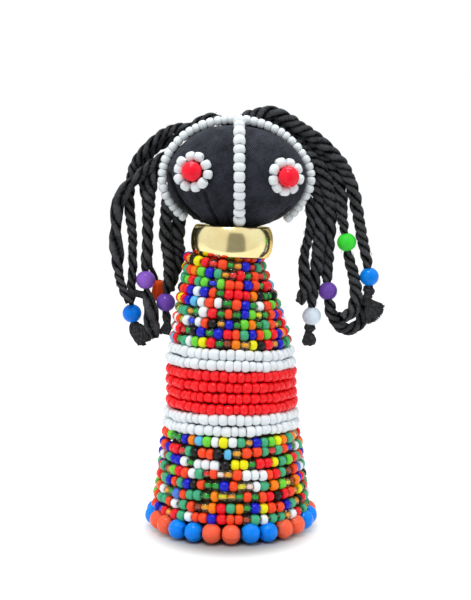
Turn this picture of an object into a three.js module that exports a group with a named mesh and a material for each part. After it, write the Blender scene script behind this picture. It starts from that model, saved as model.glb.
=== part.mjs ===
// A Zulu beaded doll: a stuffed cloth cone wound with rows of glass seed beads, a ring of round
// plastic beads at its foot, a brass neck ring, and a flat black cloth head with bead eyes, a bead
// line down the face, a bead rim and hair of twisted cord with beads on its ends.
// Millimetres, +Z up, the face looks along -Y. The origin is on the surface that the doll stands
// on, in the middle of its foot ring.
import * as THREE from "three";

// Driving dimensions.
const SEED_BEAD = 3.1; // across a seed bead
const LOWER_PITCH = 3.14; // from row to row, up to the top of the white band
const UPPER_PITCH = 2.87; // the rows above it sink a little into each other
const FIRST_ROW_HEIGHT = 7.1;
const FOOT_BEAD = 5.6;
const FOOT_RING_RADIUS = 23.2; // to the middle of its beads
const FOOT_BEADS = 26;
const NECK_RING_RADIUS = 12.3;
const NECK_RING_HEIGHT = 9.2;
const NECK_RING_FOOT = 82;
const HEAD_CENTRE = new THREE.Vector3(1.7, 0, 105.5);
const HEAD_HALF = new THREE.Vector3(20.8, 10.5, 15.3); // half its width, depth and height
const RIM_HALF_WIDTH = 22.3;
const RIM_HALF_HEIGHT = 17;
const RIM_START = -136; // degrees from the top, to the viewer's left
const RIM_END = 139;
const RIM_BEADS = 42;
const RIM_BEAD = 2.8;
const LINE_BEADS = 13;
const LINE_BEAD = 3.2;
const EYE_BEAD = 5.8;
const EYE_LEFT = { across: -12.1, up: 1.5, petals: 10 };
const EYE_RIGHT = { across: 13.5, up: 0.1, petals: 9 };
const HAIR_CORD = 2.4;
const HAIR_BEAD = 5.8;

// Clearances and facet counts.
const GAP = 0.35; // between neighbours that touch on the real doll
const ROUND_SIDES = 16; // around the body
const CORD_SIDES = 8;
const CORD_STEP = 3 * HAIR_CORD;

// The body's outline, as [height, radius to the middle of the beads].
const BODY_OUTLINE = [
  [0, 23.2],
  [7, 22.6],
  [20, 20.9],
  [33, 19],
  [41, 18.2],
  [51, 18.1],
  [60, 16.3],
  [68.7, 14.5],
  [74.5, 12.6],
  [80.2, 11.1],
];

// The bands of rows from the foot up.
const BANDS = [
  { name: "skirt_row", rows: 8, colour: 0x4ab083 },
  { name: "lower_white_row", rows: 2, colour: 0xeef4f8 },
  { name: "red_row", rows: 4, colour: 0xf52b2f },
  { name: "upper_white_row", rows: 2, colour: 0xeef4f8 },
  { name: "chest_row", rows: 9, colour: 0xf4572b },
];

// Each hair cord's route, from where it is sewn on behind the head to its end.
const HAIR_ROUTES = {
  right_1: [
    [2, 12, 108.5], [9.5, 11.5, 113.5], [15, 10.5, 110], [19, 8.5, 106], [22, 6.5, 102],
    [23.7, 5, 97.5], [24.2, 5, 93], [24, 5, 90.5], [23.5, 5, 88], [22.3, 4.5, 83], [22, 4, 81],
    [22, 3.6, 78.5], [22.3, 2.6, 74.5], [22.3, 2.2, 71.4], [21.2, 2.2, 69.2], [20.4, 2.2, 67.9],
  ],
  right_2: [
    [2, 11, 112], [9.5, 10, 117.5], [15, 8.5, 115], [20, 7.5, 112], [23.5, 7, 108],
    [25.5, 6, 103.5], [26.6, 6, 99], [26.9, 5.5, 94], [26.8, 5.5, 89], [26.5, 5, 84.5],
    [26.1, 5, 79.5], [25.4, 5, 75], [24.8, 5, 70.5], [24.5, 5, 66.5], [24.5, 5, 63], [24.2, 5, 59.5],
  ],
  right_3: [
    [2, 9.5, 115.5], [9.5, 8, 120], [14.5, 6, 118.5], [20, 5, 115.5], [23.5, 4.5, 112],
    [26.6, 4.5, 108.5], [28.7, 4.5, 104], [29.7, 5, 100], [30.2, 5.4, 95], [30.2, 6.2, 90.5],
    [29.8, 7, 85.5], [29.4, 7, 80.5], [29.2, 6.5, 75.5], [29.4, 5.6, 70.8], [29.9, 5.4, 67],
    [31.3, 5.6, 63], [33.8, 6, 59.9], [36.9, 6.5, 59.4], [39.3, 7, 61], [40.4, 7.5, 63.8],
    [40.6, 8, 66.8], [40.3, 8.2, 69.4],
  ],
  right_4: [
    [2, 7.5, 118.5], [8.5, 6.5, 123], [13, 6.5, 122], [18, 6.5, 120], [22, 6.5, 117.5],
    [25.5, 6.5, 115], [28.5, 6, 111.5], [31, 6, 108], [32.4, 5.5, 104], [33.2, 5, 99.5],
    [33.5, 4.5, 95], [34.1, 4.5, 90.5], [35, 4.5, 86], [35.5, 4.5, 82], [36.8, 4.5, 77.5],
    [37.8, 4.5, 72.5], [37.9, 4.3, 69], [37.1, 3.9, 65.6], [35.2, 3, 63.8], [32.9, 1.9, 63.4],
  ],
  right_5: [
    [2.5, 5, 121.5], [4.5, 4.5, 123.4], [8, 4.5, 124.5], [12, 4, 125.2], [16, 4, 123.6],
    [19.5, 4, 121.3], [23.4, 4, 118.8], [27.4, 4, 115.8], [30.6, 4, 112.7], [33.5, 4, 109.2],
    [35.5, 4.5, 105.3], [37, 4.5, 101], [38, 5, 96.5], [38.9, 5, 92], [39.7, 5, 87.5],
    [40.8, 5, 82.5], [41.5, 5, 79], [42, 5, 75.5], [42, 5, 72],
  ],
  left_1: [
    [1, 9.5, 115.5], [-5, 9.5, 116.5], [-10.5, 8, 115], [-15.5, 7, 113.8], [-19.5, 4.5, 112.2],
    [-23, 3, 110], [-26, 2.5, 107.6], [-29, 2, 104.8], [-32, 2.5, 101.8], [-34, 3, 98.6],
    [-34.6, 4, 94.5], [-35, 4.5, 90], [-35, 4.5, 85.5], [-34.6, 4.4, 81], [-34.2, 4, 77],
    [-33.5, 3.2, 73.6], [-32.4, 2.5, 71], [-31.4, 2.3, 69.2], [-30.8, 2.4, 68],
  ],
  left_2: [
    [1, 5, 121], [-4, 4.5, 123], [-7, 4.5, 123.5], [-10, 4.5, 122], [-12.5, 4.5, 120.5],
    [-16, 4.5, 120.5], [-20, 4.5, 119], [-23.5, 4.5, 116.5], [-26.5, 4.5, 113.5], [-29, 5, 110],
    [-30.2, 5, 106], [-30.9, 6, 102], [-31, 6, 97.5], [-30.6, 5.5, 93], [-30, 5, 88],
    [-30, 5, 83], [-30, 5, 78], [-30.4, 5, 73.5], [-30.4, 5, 69.5], [-30.3, 5, 64.2],
    [-29.6, 5, 60.5], [-28, 5, 57.5],
  ],
  left_3: [
    [1, 7.5, 118.5], [-3, 7.5, 119.5], [-7.5, 7.2, 119.5], [-11.5, 7.2, 118.8],
    [-15.8, 7.2, 118], [-19.6, 7.2, 116.5], [-23.2, 7.2, 114.3], [-25.9, 7.2, 111],
    [-27.1, 7.5, 107], [-26.7, 7.8, 102.5], [-25.9, 8, 98.5], [-25.6, 8.5, 94], [-25.4, 8.5, 89.5],
    [-25.4, 8.5, 84.5], [-25.4, 8.5, 81], [-24.9, 8.5, 78.4], [-23.8, 8.5, 76.6],
    [-23.1, 8.5, 74.6], [-22.7, 8.5, 72.3], [-22.3, 8.5, 70],
  ],
  left_4: [
    [1, 11, 112], [-5.5, 11, 113.5], [-11.5, 9, 112.5], [-16, 7, 111.3], [-19.6, 5, 109.8],
    [-22.3, 4, 107.4], [-24.2, 4, 103.8], [-24.9, 4.2, 99.5], [-25.2, 4.5, 94.5], [-25.4, 4.5, 90.5],
    [-25.5, 4.5, 87], [-25.5, 4.5, 83.5], [-26, 4.5, 79], [-26, 4.5, 74.5], [-25.6, 4, 71],
    [-25, 3, 68], [-24.3, 3, 64], [-23.9, 3.5, 60.5], [-23.4, 4, 57],
  ],
  left_5: [
    [1, 12, 108.5], [-6, 12, 110], [-11.5, 10, 108], [-15.5, 8, 105.5], [-18, 6, 102],
    [-19.3, 5, 98], [-19.7, 5, 93.5], [-20, 5, 89.5], [-19.5, 5, 85], [-19, 5, 80.5],
    [-19, 5, 76], [-19.5, 5, 72], [-20, 5, 67.6], [-20, 5, 64], [-19.5, 5, 62],
  ],
  left_6: [
    [1, 12, 104.5], [-5.5, 12, 106.5], [-10, 11, 104.5], [-13.5, 9, 101.5], [-15.3, 7.5, 98],
    [-16.1, 7, 94.5], [-16.1, 6.5, 90.5], [-16.3, 6.5, 88.5], [-16.5, 6.5, 86.5], [-16, 6.5, 84.5],
    [-16, 7, 82], [-16.2, 7, 80], [-16.9, 7.6, 77.5], [-18.1, 8.4, 74.5], [-19, 8.9, 71.5],
  ],
};

// The bead on each cord that has one, and the height of its middle, found from the free end up.
const HAIR_BEADS = [
  { name: "left_blue", cord: "left_2", height: 64.2, colour: 0x0c7be0 },
  { name: "left_purple", cord: "left_4", height: 74.5, colour: 0x8a45b8 },
  { name: "left_inner_purple", cord: "left_5", height: 67.6, colour: 0x7b3fa9 },
  { name: "left_orange", cord: "left_3", height: 71.1, colour: 0xf23a12, across: 4.8 },
  { name: "right_white", cord: "right_2", height: 63.4, colour: 0xd6e6f2 },
  { name: "right_purple", cord: "right_3", height: 70.9, colour: 0x6a2fa5 },
  { name: "right_green", cord: "right_4", height: 86, colour: 0x3fd13b },
  { name: "right_blue", cord: "right_5", height: 75.5, colour: 0x0c7be0 },
];

const doll = new THREE.Group();
const degrees = THREE.MathUtils.degToRad;

const cloth = { color: 0x232426, roughness: 0.9, metalness: 0 };
const cord = { color: 0x1f2020, roughness: 0.85, metalness: 0 };
const glass = { roughness: 0.25, metalness: 0 };
const whiteGlass = { ...glass, color: 0xeef4f8 };
const plastic = { roughness: 0.35, metalness: 0 };

function addPiece(name, geometry, look) {
  const mesh = new THREE.Mesh(geometry, new THREE.MeshStandardMaterial(look));
  mesh.name = name;
  doll.add(mesh);
  return mesh;
}

// A turned solid about +Z. The profile is [radius, height] pairs that run up the outside.
function turned(profile, sides) {
  const points = profile.map(([radius, height]) => new THREE.Vector2(radius, height));
  return new THREE.LatheGeometry(points, sides).rotateX(Math.PI / 2);
}

// A tube along a curve, with flat ends.
function tube(curve, across, sides, steps) {
  const section = new THREE.Shape();
  for (let i = 0; i < sides; i += 1) {
    const turn = (2 * Math.PI * i) / sides;
    const x = (across / 2) * Math.cos(turn);
    const y = (across / 2) * Math.sin(turn);
    if (i === 0) section.moveTo(x, y);
    else section.lineTo(x, y);
  }
  section.closePath();
  return new THREE.ExtrudeGeometry(section, { steps, bevelEnabled: false, extrudePath: curve });
}

// The shape of a bead in a string, as its radii from one hole to the other in shares of its width.
const SEED_SHAPE = [0.3, 0.5];
const ROUND_SHAPE = [0.22, 0.5, 0.5];

// A string of touching seed beads as one solid: turned straight up +Z, then bent along the curve.
function seedString(curve, beads, across, sides) {
  const rings = beads * SEED_SHAPE.length;
  const profile = [[0, 0]];
  for (let i = 0; i <= rings; i += 1) {
    profile.push([across * SEED_SHAPE[i % SEED_SHAPE.length], i / rings]);
  }
  profile.push([0, 1]);
  const string = turned(profile, sides);
  const { normals, binormals } = curve.computeFrenetFrames(rings);
  const places = string.getAttribute("position");
  for (let i = 0; i < places.count; i += 1) {
    const ring = Math.round(places.getZ(i) * rings);
    const place = curve.getPointAt(ring / rings)
      .addScaledVector(normals[ring], places.getX(i))
      .addScaledVector(binormals[ring], places.getY(i));
    places.setXYZ(i, place.x, place.y, place.z);
  }
  return string;
}

// A closed ring of touching beads about +Z as one solid, with a bead's middle towards -Y.
function beadRing(radius, beads, across, shape, sides) {
  const rings = beads * shape.length;
  const ring = new THREE.TorusGeometry(radius, across, sides, rings);
  const places = ring.getAttribute("position");
  for (let i = 0; i < places.count; i += 1) {
    const share = shape[(i % (rings + 1)) % shape.length];
    const place = new THREE.Vector3().fromBufferAttribute(places, i);
    const middle = place.clone().setZ(0).setLength(radius);
    place.lerpVectors(middle, place, share);
    places.setXYZ(i, place.x, place.y, place.z);
  }
  return ring.rotateZ(-Math.PI / 2 - Math.PI / beads);
}

// The radius of the bead rows' middle at a height, straight between the outline's points.
function bodyRadius(height) {
  const above = BODY_OUTLINE.findIndex(([z]) => z >= height);
  if (above === -1) return BODY_OUTLINE[BODY_OUTLINE.length - 1][1];
  if (above === 0) return BODY_OUTLINE[0][1];
  const [lowZ, lowRadius] = BODY_OUTLINE[above - 1];
  const [highZ, highRadius] = BODY_OUTLINE[above];
  return THREE.MathUtils.mapLinear(height, lowZ, highZ, lowRadius, highRadius);
}

// How far the body leans to its left as it rises: not at all below the chest, 1.9 mm at the neck.
function bodyLean(height) {
  const lean = 1.9;
  const start = 50;
  const neck = 80;
  return height < start ? 0 : -lean * ((height - start) / (neck - start)) ** 2;
}

// How far a row slopes down to the right, and how far its front tips down, in degrees.
function rowSlope(height) {
  const level = 20;
  const neck = 80;
  const share = Math.max(0, (height - level) / (neck - level));
  return { roll: 3.2 * share + 4.4 * share ** 5, tip: 1.5 * share ** 5 };
}

// The stuffed cloth core, hidden under the beads, with a flat foot and a short neck.
const CORE_TOP = 80;
const NECK_RADIUS = 6.5;
const NECK_TOP = 89.8;
const rowInset = SEED_BEAD / 2 + 0.8;
const coreProfile = [[0, 0], [FOOT_RING_RADIUS - FOOT_BEAD / 2 - 0.8, 0]];
for (const height of [7, 20, 41, 51, 68.7, CORE_TOP]) {
  const slopeAllowance = 0.08 * rowSlope(height).roll;
  coreProfile.push([bodyRadius(height) - rowInset - slopeAllowance, height]);
}
coreProfile.push([NECK_RADIUS, CORE_TOP + 1.5], [NECK_RADIUS, NECK_TOP], [0, NECK_TOP]);
const core = turned(coreProfile, ROUND_SIDES);
const corePlaces = core.getAttribute("position");
for (let i = 0; i < corePlaces.count; i += 1) {
  const height = corePlaces.getZ(i);
  corePlaces.setX(i, corePlaces.getX(i) + (height > CORE_TOP ? 0 : bodyLean(height)));
}
addPiece("body_core", core, cloth);

// The rows of seed beads, one threaded ring each.
let rowHeight = FIRST_ROW_HEIGHT;
for (const band of BANDS) {
  const pitch = band.name === "chest_row" ? UPPER_PITCH : LOWER_PITCH;
  const halfHeight = (pitch - GAP) / 2;
  const halfDepth = SEED_BEAD / 2;
  for (let i = 1; i <= band.rows; i += 1) {
    const radius = bodyRadius(rowHeight);
    const profile = [
      [radius - halfDepth * 0.7, 0],
      [radius + halfDepth * 0.3, -halfHeight],
      [radius + halfDepth, 0],
      [radius + halfDepth * 0.3, halfHeight],
      [radius - halfDepth * 0.7, 0],
    ];
    const look = { ...glass, color: band.colour };
    const row = addPiece(`${band.name}_${i}`, turned(profile, ROUND_SIDES), look);
    const slope = rowSlope(rowHeight);
    row.position.set(bodyLean(rowHeight), 0, rowHeight);
    row.rotation.set(degrees(slope.tip), degrees(slope.roll), 0);
    rowHeight += pitch;
  }
}

// One more row sits inside the foot of the neck ring, on the core's shoulder.
const neckRowRadius = 8.4;
const neckRowHalfDepth = 1.2;
const neckRowHalfHeight = 1.1;
const neckRowProfile = [
  [neckRowRadius - neckRowHalfDepth, 0],
  [neckRowRadius, -neckRowHalfHeight],
  [neckRowRadius + neckRowHalfDepth, 0],
  [neckRowRadius, neckRowHalfHeight],
  [neckRowRadius - neckRowHalfDepth, 0],
];
const neckRowLook = { ...glass, color: 0xfd8b0e };
const neckRow = addPiece("neck_row", turned(neckRowProfile, 12), neckRowLook);
neckRow.position.set(-0.2, 0, NECK_RING_FOOT + 0.2);
neckRow.rotation.y = degrees(4);

// The foot ring: round plastic beads on one thread, each touching the next.
const footBeads = beadRing(FOOT_RING_RADIUS, FOOT_BEADS, FOOT_BEAD, ROUND_SHAPE, 8);
const footRing = addPiece("foot_ring", footBeads, { ...plastic, color: 0xff6a3d });
footRing.position.z = FOOT_BEAD / 2;

// The neck ring: a short barrel of polished brass tube that slopes a little with the rows below.
const neckWall = 2;
const neckEdge = NECK_RING_RADIUS - 1.3;
const neckBulge = 0.3;
const neckProfile = [
  [NECK_RING_RADIUS - neckWall, 0],
  [neckEdge, 0],
  [NECK_RING_RADIUS - neckBulge, NECK_RING_HEIGHT * 0.22],
  [NECK_RING_RADIUS, NECK_RING_HEIGHT * 0.5],
  [NECK_RING_RADIUS - neckBulge, NECK_RING_HEIGHT * 0.78],
  [neckEdge, NECK_RING_HEIGHT],
  [NECK_RING_RADIUS - neckWall, NECK_RING_HEIGHT],
  [NECK_RING_RADIUS - neckWall, 0],
];
const brass = { color: 0xd9c06a, roughness: 0.15, metalness: 1 };
const neckRing = addPiece("neck_ring", turned(neckProfile, 20), brass);
neckRing.position.set(0, 0, NECK_RING_FOOT);
neckRing.rotation.y = degrees(2.5);

// The head: a stuffed cloth cushion, wider than tall and flattened front to back.
const headBall = new THREE.SphereGeometry(1, 18, 9);
headBall.rotateX(Math.PI / 2);
headBall.scale(HEAD_HALF.x, HEAD_HALF.y, HEAD_HALF.z);
const head = addPiece("head", headBall, cloth);
head.position.copy(HEAD_CENTRE);

// A place on the front of the head and the way that it faces.
function onFace(across, up) {
  const depth = Math.sqrt(1 - (across / HEAD_HALF.x) ** 2 - (up / HEAD_HALF.z) ** 2);
  const place = new THREE.Vector3(across, -HEAD_HALF.y * depth, up);
  const facing = place.clone().divide(HEAD_HALF).divide(HEAD_HALF).normalize();
  return { place: place.add(HEAD_CENTRE), facing };
}

// The rim: a string of seed beads around the head's edge. Its ends run behind the neck.
const rimPoints = [];
const rimPlaces = 25;
const rimBack = 1.5;
const rimEndBack = 4.5;
for (let i = 0; i < rimPlaces; i += 1) {
  const angle = THREE.MathUtils.lerp(RIM_START, RIM_END, i / (rimPlaces - 1));
  const turn = degrees(angle);
  const share = THREE.MathUtils.smoothstep(Math.abs(angle), 95, RIM_END);
  rimPoints.push(new THREE.Vector3(
    HEAD_CENTRE.x + RIM_HALF_WIDTH * Math.sin(turn),
    THREE.MathUtils.lerp(rimBack, rimEndBack, share),
    HEAD_CENTRE.z + RIM_HALF_HEIGHT * Math.cos(turn),
  ));
}
const rimCurve = new THREE.CatmullRomCurve3(rimPoints, false, "centripetal");
addPiece("rim_beads", seedString(rimCurve, RIM_BEADS, RIM_BEAD, 5), whiteGlass);

// The face line: seed beads from the top of the rim down the middle of the face.
const linePoints = [];
const lineStart = 14;
const lineEnd = 142;
const lineRise = 2.1;
const lineShift = 0.7;
for (let angle = lineStart; angle <= lineEnd; angle += (lineEnd - lineStart) / 16) {
  const turn = degrees(angle);
  linePoints.push(new THREE.Vector3(
    HEAD_CENTRE.x + lineShift,
    -(HEAD_HALF.y + lineRise) * Math.sin(turn),
    HEAD_CENTRE.z + (HEAD_HALF.z + lineRise) * Math.cos(turn),
  ));
}
const lineCurve = new THREE.CatmullRomCurve3(linePoints);
addPiece("face_line", seedString(lineCurve, LINE_BEADS, LINE_BEAD, 6), whiteGlass);

// The eyes: a round red bead in a ring of white seed beads, turned outwards with the head.
const petalPitch = 2.9;
const petalRise = 2.6;
const pupilRise = EYE_BEAD / 2 + 1.6;
for (const [side, eye] of Object.entries({ left: EYE_LEFT, right: EYE_RIGHT })) {
  const { place, facing } = onFace(eye.across, eye.up);
  const turn = new THREE.Quaternion().setFromUnitVectors(new THREE.Vector3(0, 0, 1), facing);
  const petalRadius = (eye.petals * petalPitch) / (2 * Math.PI);
  const petals = beadRing(petalRadius, eye.petals, SEED_BEAD, SEED_SHAPE, 5);
  const rosette = addPiece(`${side}_eye_petals`, petals, whiteGlass);
  rosette.quaternion.copy(turn);
  rosette.position.copy(place).addScaledVector(facing, petalRise);
  const pupil = addPiece(`${side}_eye_bead`, new THREE.SphereGeometry(EYE_BEAD / 2, 8, 6), {
    ...plastic,
    color: 0xfa2a35,
  });
  pupil.quaternion.copy(turn);
  pupil.position.copy(place).addScaledVector(facing, pupilRise);
}

// The hair: twisted cords that hang from behind the head.
const hairCurves = {};
for (const [name, route] of Object.entries(HAIR_ROUTES)) {
  const points = route.map((place) => new THREE.Vector3(...place));
  const curve = new THREE.CatmullRomCurve3(points, false, "centripetal");
  hairCurves[name] = curve;
  const steps = Math.round(curve.getLength() / CORD_STEP);
  addPiece(`hair_cord_${name}`, tube(curve, HAIR_CORD, CORD_SIDES, steps), cord);
}

// The beads on the hair, bored for the cord, each threaded along its cord. Their section is given
// as [radius, height] in shares of their width.
const HAIR_BEAD_SECTION = [
  [0.3, -0.37],
  [0.36, -0.35],
  [0.5, -0.12],
  [0.5, 0.12],
  [0.36, 0.35],
  [0.3, 0.37],
  [0.3, -0.37],
];
for (const { name, cord: cordName, height, colour, across = HAIR_BEAD } of HAIR_BEADS) {
  const curve = hairCurves[cordName];
  let along = 1;
  while (curve.getPointAt(along).z < height) along -= 0.002;
  const profile = HAIR_BEAD_SECTION.map((pair) => pair.map((share) => share * across));
  const bead = addPiece(`hair_bead_${name}`, turned(profile, 7), { ...plastic, color: colour });
  bead.position.copy(curve.getPointAt(along));
  bead.quaternion.setFromUnitVectors(new THREE.Vector3(0, 0, 1), curve.getTangentAt(along));
}

// The knots and the tassel below the last beads. Each is a cone that hangs from its top point.
function hangingEnd(name, top, foot, topRadius, footRadius, flat) {
  const start = new THREE.Vector3(...top);
  const down = new THREE.Vector3(...foot).sub(start);
  const length = down.length();
  const profile = [
    [0, 0],
    [topRadius, 0],
    [footRadius, 0.7 * length],
    [0.6 * footRadius, length],
    [0, length],
  ];
  const geometry = turned(profile, CORD_SIDES).scale(1, flat, 1);
  const end = addPiece(name, geometry, cord);
  const along = down.normalize();
  const across = new THREE.Vector3(0, 1, 0).cross(along).normalize();
  const depth = new THREE.Vector3().crossVectors(along, across);
  const basis = new THREE.Matrix4().makeBasis(across, depth, along);
  end.quaternion.setFromRotationMatrix(basis);
  end.position.copy(start);
}
hangingEnd("hair_knot_right_white", [24, 5, 58.9], [24.3, 5, 54.6], 0.9, 2.3, 0.7);
hangingEnd("hair_knot_left_purple", [-19.6, 5, 61.5], [-21.2, 5, 57.4], 0.9, 1.8, 0.8);
hangingEnd("hair_knot_left_blue", [-27.7, 5, 56.9], [-26.6, 5, 54.6], 1.2, 1.9, 0.8);
hangingEnd("hair_tassel_right", [42.2, 5, 71.4], [44.3, 5, 63], 1.1, 3.2, 0.5);

export default doll;
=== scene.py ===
import math
import random

import bmesh
import bpy
import numpy
from mathutils import Matrix, Vector
from mathutils.geometry import interpolate_bezier


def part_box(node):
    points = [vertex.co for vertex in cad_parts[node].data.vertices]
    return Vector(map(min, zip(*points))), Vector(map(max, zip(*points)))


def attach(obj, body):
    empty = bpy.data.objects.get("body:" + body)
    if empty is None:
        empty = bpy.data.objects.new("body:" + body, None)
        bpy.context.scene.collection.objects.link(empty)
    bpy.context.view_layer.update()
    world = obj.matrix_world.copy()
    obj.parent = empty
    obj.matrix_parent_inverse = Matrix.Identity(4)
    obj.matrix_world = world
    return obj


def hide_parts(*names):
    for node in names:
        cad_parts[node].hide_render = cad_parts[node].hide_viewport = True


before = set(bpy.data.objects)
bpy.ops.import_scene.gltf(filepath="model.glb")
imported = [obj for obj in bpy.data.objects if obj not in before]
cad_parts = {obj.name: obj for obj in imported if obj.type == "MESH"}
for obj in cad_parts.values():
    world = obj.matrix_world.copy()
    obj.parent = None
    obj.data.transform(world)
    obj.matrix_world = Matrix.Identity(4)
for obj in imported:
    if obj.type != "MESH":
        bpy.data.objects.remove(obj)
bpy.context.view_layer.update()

# Camera. The photograph is taken from a little above the chest, nearly level, with a long lens.
# Lengths in this file are millimetres until they go into a mesh or a place in the scene.
MM = 0.001
camera = bpy.data.objects.new("camera", bpy.data.cameras.new("camera"))
bpy.context.collection.objects.link(camera)
camera.location = Vector((1.275, -395, 101.994)) * MM
camera.rotation_euler = (math.radians(90 - 4.8), 0, 0)
camera.data.sensor_fit = "HORIZONTAL"
camera.data.sensor_width = 36
camera.data.lens = 100.6
camera.data.clip_start = 0.01
bpy.context.scene.camera = camera


# Hair cords. Each is black three-ply cord of spun fibre, left-hand laid, sewn flat across the back
# of the head from the middle line and hanging free from the rim.
CORD_STEP = 0.6
CORD_LAY = 9.6
FIBRES_PER_MM = 1.6
HAIR_ROUTES = {
    "right_1": [
        (2, 12, 108.5), (9.5, 11.5, 113.5), (15, 10.5, 110), (19, 8.5, 106), (22, 6.5, 102),
        (23.7, 5, 97.5), (24.2, 5, 93), (24, 5, 90.5), (23.5, 5, 88), (22.3, 4.5, 83),
        (22, 4, 81), (22, 3.6, 78.5), (22.3, 2.6, 74.5), (22.3, 2.2, 71.4), (21.2, 2.2, 69.2),
        (20.4, 2.2, 67.9),
    ],
    "right_2": [
        (2, 11, 112), (9.5, 10, 117.5), (15, 8.5, 115), (20, 7.5, 112), (23.5, 7, 108),
        (25.5, 6, 103.5), (26.6, 6, 99), (26.9, 5.5, 94), (26.8, 5.5, 89), (26.5, 5, 84.5),
        (26.1, 5, 79.5), (25.4, 5, 75), (24.8, 5, 70.5), (24.5, 5, 66.5), (24.5, 5, 63),
        (24.2, 5, 59.5),
    ],
    "right_3": [
        (2, 9.5, 115.5), (9.5, 8, 120), (14.5, 6, 118.5), (20, 5, 115.5), (23.5, 4.5, 112),
        (26.6, 4.5, 108.5), (28.7, 4.5, 104), (29.7, 5, 100), (30.2, 5.4, 95), (30.2, 6.2, 90.5),
        (29.8, 7, 85.5), (29.4, 7, 80.5), (29.2, 6.5, 75.5), (29.4, 5.6, 70.8), (29.9, 5.4, 67),
        (31.3, 5.6, 63), (33.8, 6, 59.9), (36.9, 6.5, 59.4), (39.3, 7, 61), (40.4, 7.5, 63.8),
        (40.6, 8, 66.8), (40.3, 8.2, 69.4),
    ],
    "right_4": [
        (2, 7.5, 118.5), (8.5, 6.5, 123), (13, 6.5, 122), (18, 6.5, 120), (22, 6.5, 117.5),
        (25.5, 6.5, 115), (28.5, 6, 111.5), (31, 6, 108), (32.4, 5.5, 104), (33.2, 5, 99.5),
        (33.5, 4.5, 95), (34.1, 4.5, 90.5), (35, 4.5, 86), (35.5, 4.5, 82), (36.8, 4.5, 77.5),
        (37.8, 4.5, 72.5), (37.9, 4.3, 69), (37.1, 3.9, 65.6), (35.2, 3, 63.8), (32.9, 1.9, 63.4),
    ],
    "right_5": [
        (2.5, 5, 121.5), (4.5, 4.5, 123.4), (8, 4.5, 124.5), (12, 4, 125.2), (16, 4, 123.6),
        (19.5, 4, 121.3), (23.4, 4, 118.8), (27.4, 4, 115.8), (30.6, 4, 112.7), (33.5, 4, 109.2),
        (35.5, 4.5, 105.3), (37, 4.5, 101), (38, 5, 96.5), (38.9, 5, 92), (39.7, 5, 87.5),
        (40.8, 5, 82.5), (41.5, 5, 79), (42, 5, 75.5), (42, 5, 72),
    ],
    "left_1": [
        (1, 9.5, 115.5), (-5, 9.5, 116.5), (-10.5, 8, 115), (-15.5, 7, 113.8),
        (-19.5, 4.5, 112.2), (-23, 3, 110), (-26, 2.5, 107.6), (-29, 2, 104.8), (-32, 2.5, 101.8),
        (-34, 3, 98.6), (-34.6, 4, 94.5), (-35, 4.5, 90), (-35, 4.5, 85.5), (-34.6, 4.4, 81),
        (-34.2, 4, 77), (-33.5, 3.2, 73.6), (-32.4, 2.5, 71), (-31.4, 2.3, 69.2),
        (-30.8, 2.4, 68),
    ],
    "left_2": [
        (1, 5, 121), (-4, 4.5, 123), (-7, 4.5, 123.5), (-10, 4.5, 122), (-12.5, 4.5, 120.5),
        (-16, 4.5, 120.5), (-20, 4.5, 119), (-23.5, 4.5, 116.5), (-26.5, 4.5, 113.5),
        (-29, 5, 110), (-30.2, 5, 106), (-30.9, 6, 102), (-31, 6, 97.5), (-30.6, 5.5, 93),
        (-30, 5, 88), (-30, 5, 83), (-30, 5, 78), (-30.4, 5, 73.5), (-30.4, 5, 69.5),
        (-30.3, 5, 64.2), (-29.6, 5, 60.5), (-28, 5, 57.5),
    ],
    "left_3": [
        (1, 7.5, 118.5), (-3, 7.5, 119.5), (-7.5, 7.2, 119.5), (-11.5, 7.2, 118.8),
        (-15.8, 7.2, 118), (-19.6, 7.2, 116.5), (-23.2, 7.2, 114.3), (-25.9, 7.2, 111),
        (-27.1, 7.5, 107), (-26.7, 7.8, 102.5), (-25.9, 8, 98.5), (-25.6, 8.5, 94),
        (-25.4, 8.5, 89.5), (-25.4, 8.5, 84.5), (-25.4, 8.5, 81), (-24.9, 8.5, 78.4),
        (-23.8, 8.5, 76.6), (-23.1, 8.5, 74.6), (-22.7, 8.5, 72.3), (-22.3, 8.5, 70),
    ],
    "left_4": [
        (1, 11, 112), (-5.5, 11, 113.5), (-11.5, 9, 112.5), (-16, 7, 111.3), (-19.6, 5, 109.8),
        (-22.3, 4, 107.4), (-24.2, 4, 103.8), (-24.9, 4.2, 99.5), (-25.2, 4.5, 94.5),
        (-25.4, 4.5, 90.5), (-25.5, 4.5, 87), (-25.5, 4.5, 83.5), (-26, 4.5, 79),
        (-26, 4.5, 74.5), (-25.6, 4, 71), (-25, 3, 68), (-24.3, 3, 64), (-23.9, 3.5, 60.5),
        (-23.4, 4, 57),
    ],
    "left_5": [
        (1, 12, 108.5), (-6, 12, 110), (-11.5, 10, 108), (-15.5, 8, 105.5), (-18, 6, 102),
        (-19.3, 5, 98), (-19.7, 5, 93.5), (-20, 5, 89.5), (-19.5, 5, 85), (-19, 5, 80.5),
        (-19, 5, 76), (-19.5, 5, 72), (-20, 5, 67.6), (-20, 5, 64), (-19.5, 5, 62),
    ],
    "left_6": [
        (1, 12, 104.5), (-5.5, 12, 106.5), (-10, 11, 104.5), (-13.5, 9, 101.5), (-15.3, 7.5, 98),
        (-16.1, 7, 94.5), (-16.1, 6.5, 90.5), (-16.3, 6.5, 88.5), (-16.5, 6.5, 86.5),
        (-16, 6.5, 84.5), (-16, 7, 82), (-16.2, 7, 80), (-16.9, 7.6, 77.5), (-18.1, 8.4, 74.5),
        (-19, 8.9, 71.5),
    ],
}

CORD_WIDTHS = {
    "right_1": 3.4, "right_2": 3.8, "right_3": 3.8, "right_4": 3.7, "right_5": 3.8,
    "left_1": 3.0, "left_2": 2.9, "left_3": 2.2, "left_4": 3.3, "left_5": 3.8, "left_6": 3.7,
}
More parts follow.
